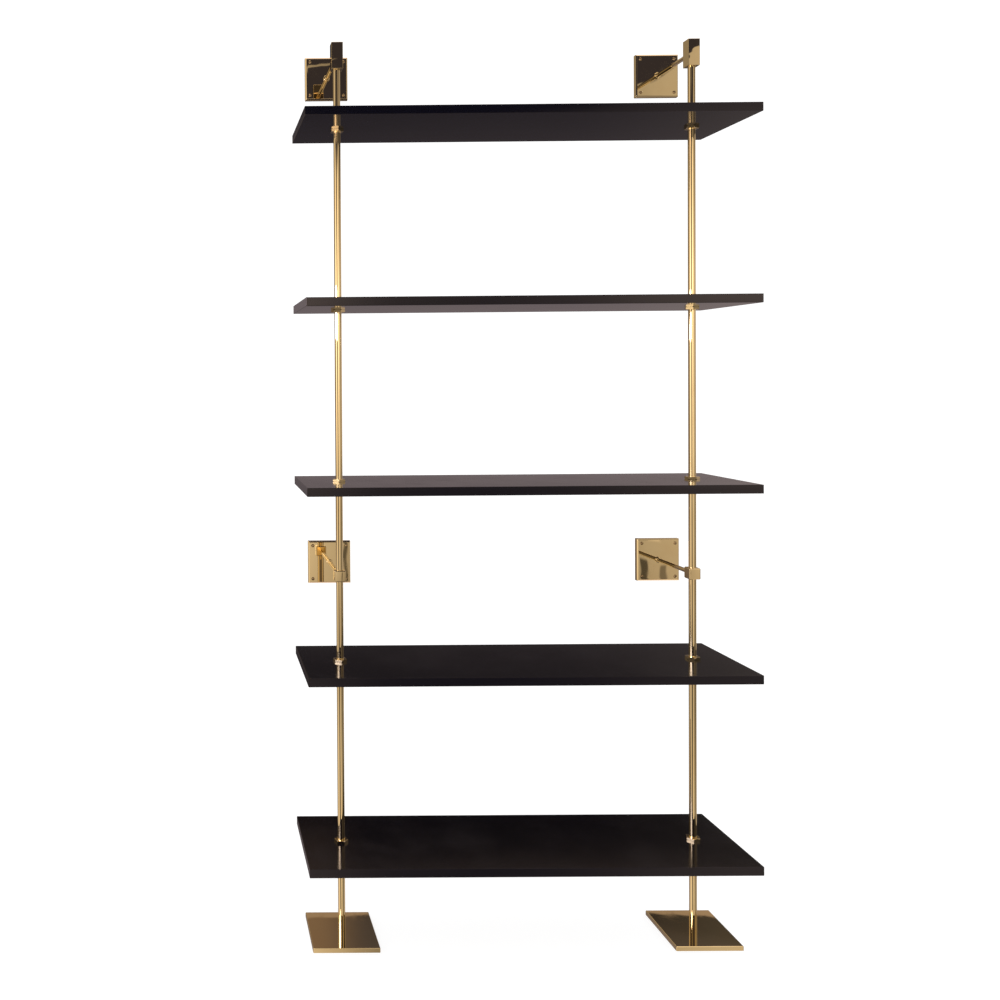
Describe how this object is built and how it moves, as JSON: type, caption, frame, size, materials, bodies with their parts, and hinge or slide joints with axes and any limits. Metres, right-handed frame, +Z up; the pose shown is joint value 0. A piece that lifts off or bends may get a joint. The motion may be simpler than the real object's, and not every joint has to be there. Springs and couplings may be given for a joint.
{
  "type": "wall shelf unit",
  "caption": "Tall brass pole shelf unit with black lacquered boards held by hexagonal collars, square floor plates and square wall plates on round stays.",
  "frame": {"origin": "middle of the bottom of the whole unit's box, on the floor", "axes": "+Z up along the poles, +Y towards the wall, +X to the right seen from the front"},
  "size_m": [0.965, 0.32, 2.0253],
  "materials": {
    "black_lacquer": "black satin lacquer on a wood-based board",
    "polished_brass": "mirror polished, clear lacquered brass",
    "brass_screws": "polished brass wood screws",
    "grub_steel": "dark steel set screws",
    "fixing_steel": "zinc plated steel"
  },
  "bodies": {
    "frame": {"pole_left": "polished_brass", "pole_plug_left": "polished_brass", "foot_plate_left": "polished_brass", "cap_block_left": "polished_brass", "arm_top_left": "polished_brass", "wall_plate_top_left": "polished_brass", "wall_screws_top_left": "brass_screws", "pole_right": "polished_brass", "pole_plug_right": "polished_brass", "foot_plate_right": "polished_brass", "cap_block_right": "polished_brass", "arm_top_right": "polished_brass", "wall_plate_top_right": "polished_brass", "wall_screws_top_right": "brass_screws", "foot_screws": "fixing_steel", "cap_grub_screws": "grub_steel", "arm_screws_top": "fixing_steel"},
    "bottom_shelf": {"shelf_bottom": "black_lacquer", "collar_bottom_left_over": "polished_brass", "collar_bottom_left_under": "polished_brass", "collar_bottom_right_over": "polished_brass", "collar_bottom_right_under": "polished_brass", "collar_grub_screws_bottom": "grub_steel"},
    "lower_shelf": {"shelf_lower": "black_lacquer", "collar_lower_left_over": "polished_brass", "collar_lower_left_under": "polished_brass", "collar_lower_right_over": "polished_brass", "collar_lower_right_under": "polished_brass", "collar_grub_screws_lower": "grub_steel"},
    "middle_shelf": {"shelf_middle": "black_lacquer", "collar_middle_left_over": "polished_brass", "collar_middle_left_under": "polished_brass", "collar_middle_right_over": "polished_brass", "collar_middle_right_under": "polished_brass", "collar_grub_screws_middle": "grub_steel"},
    "upper_shelf": {"shelf_upper": "black_lacquer", "collar_upper_left_over": "polished_brass", "collar_upper_left_under": "polished_brass", "collar_upper_right_over": "polished_brass", "collar_upper_right_under": "polished_brass", "collar_grub_screws_upper": "grub_steel"},
    "top_shelf": {"shelf_top": "black_lacquer", "collar_top_left_over": "polished_brass", "collar_top_left_under": "polished_brass", "collar_top_right_over": "polished_brass", "collar_top_right_under": "polished_brass", "collar_grub_screws_top": "grub_steel"},
    "left_bracket": {"clamp_block_left": "polished_brass", "arm_lower_left": "polished_brass", "wall_plate_lower_left": "polished_brass", "wall_screws_lower_left": "brass_screws", "arm_screw_lower_left": "fixing_steel", "clamp_grub_screw_left": "grub_steel"},
    "right_bracket": {"clamp_block_right": "polished_brass", "arm_lower_right": "polished_brass", "wall_plate_lower_right": "polished_brass", "wall_screws_lower_right": "brass_screws", "arm_screw_lower_right": "fixing_steel", "clamp_grub_screw_right": "grub_steel"}
  },
  "joints": [
    {"name": "bottom_shelf_height", "type": "slide", "parent": "frame", "child": "bottom_shelf", "axis": [0, 0, 1], "range_m": [-0.15, 0.15]},
    {"name": "lower_shelf_height", "type": "slide", "parent": "frame", "child": "lower_shelf", "axis": [0, 0, 1], "range_m": [-0.15, 0.12]},
    {"name": "middle_shelf_height", "type": "slide", "parent": "frame", "child": "middle_shelf", "axis": [0, 0, 1], "range_m": [-0.12, 0.15]},
    {"name": "upper_shelf_height", "type": "slide", "parent": "frame", "child": "upper_shelf", "axis": [0, 0, 1], "range_m": [-0.15, 0.15]},
    {"name": "top_shelf_height", "type": "slide", "parent": "frame", "child": "top_shelf", "axis": [0, 0, 1], "range_m": [-0.15, 0.1]},
    {"name": "left_bracket_height", "type": "slide", "parent": "frame", "child": "left_bracket", "axis": [0, 0, 1], "range_m": [-0.05, 0.05]},
    {"name": "right_bracket_height", "type": "slide", "parent": "frame", "child": "right_bracket", "axis": [0, 0, 1], "range_m": [-0.05, 0.05]}
  ]
}
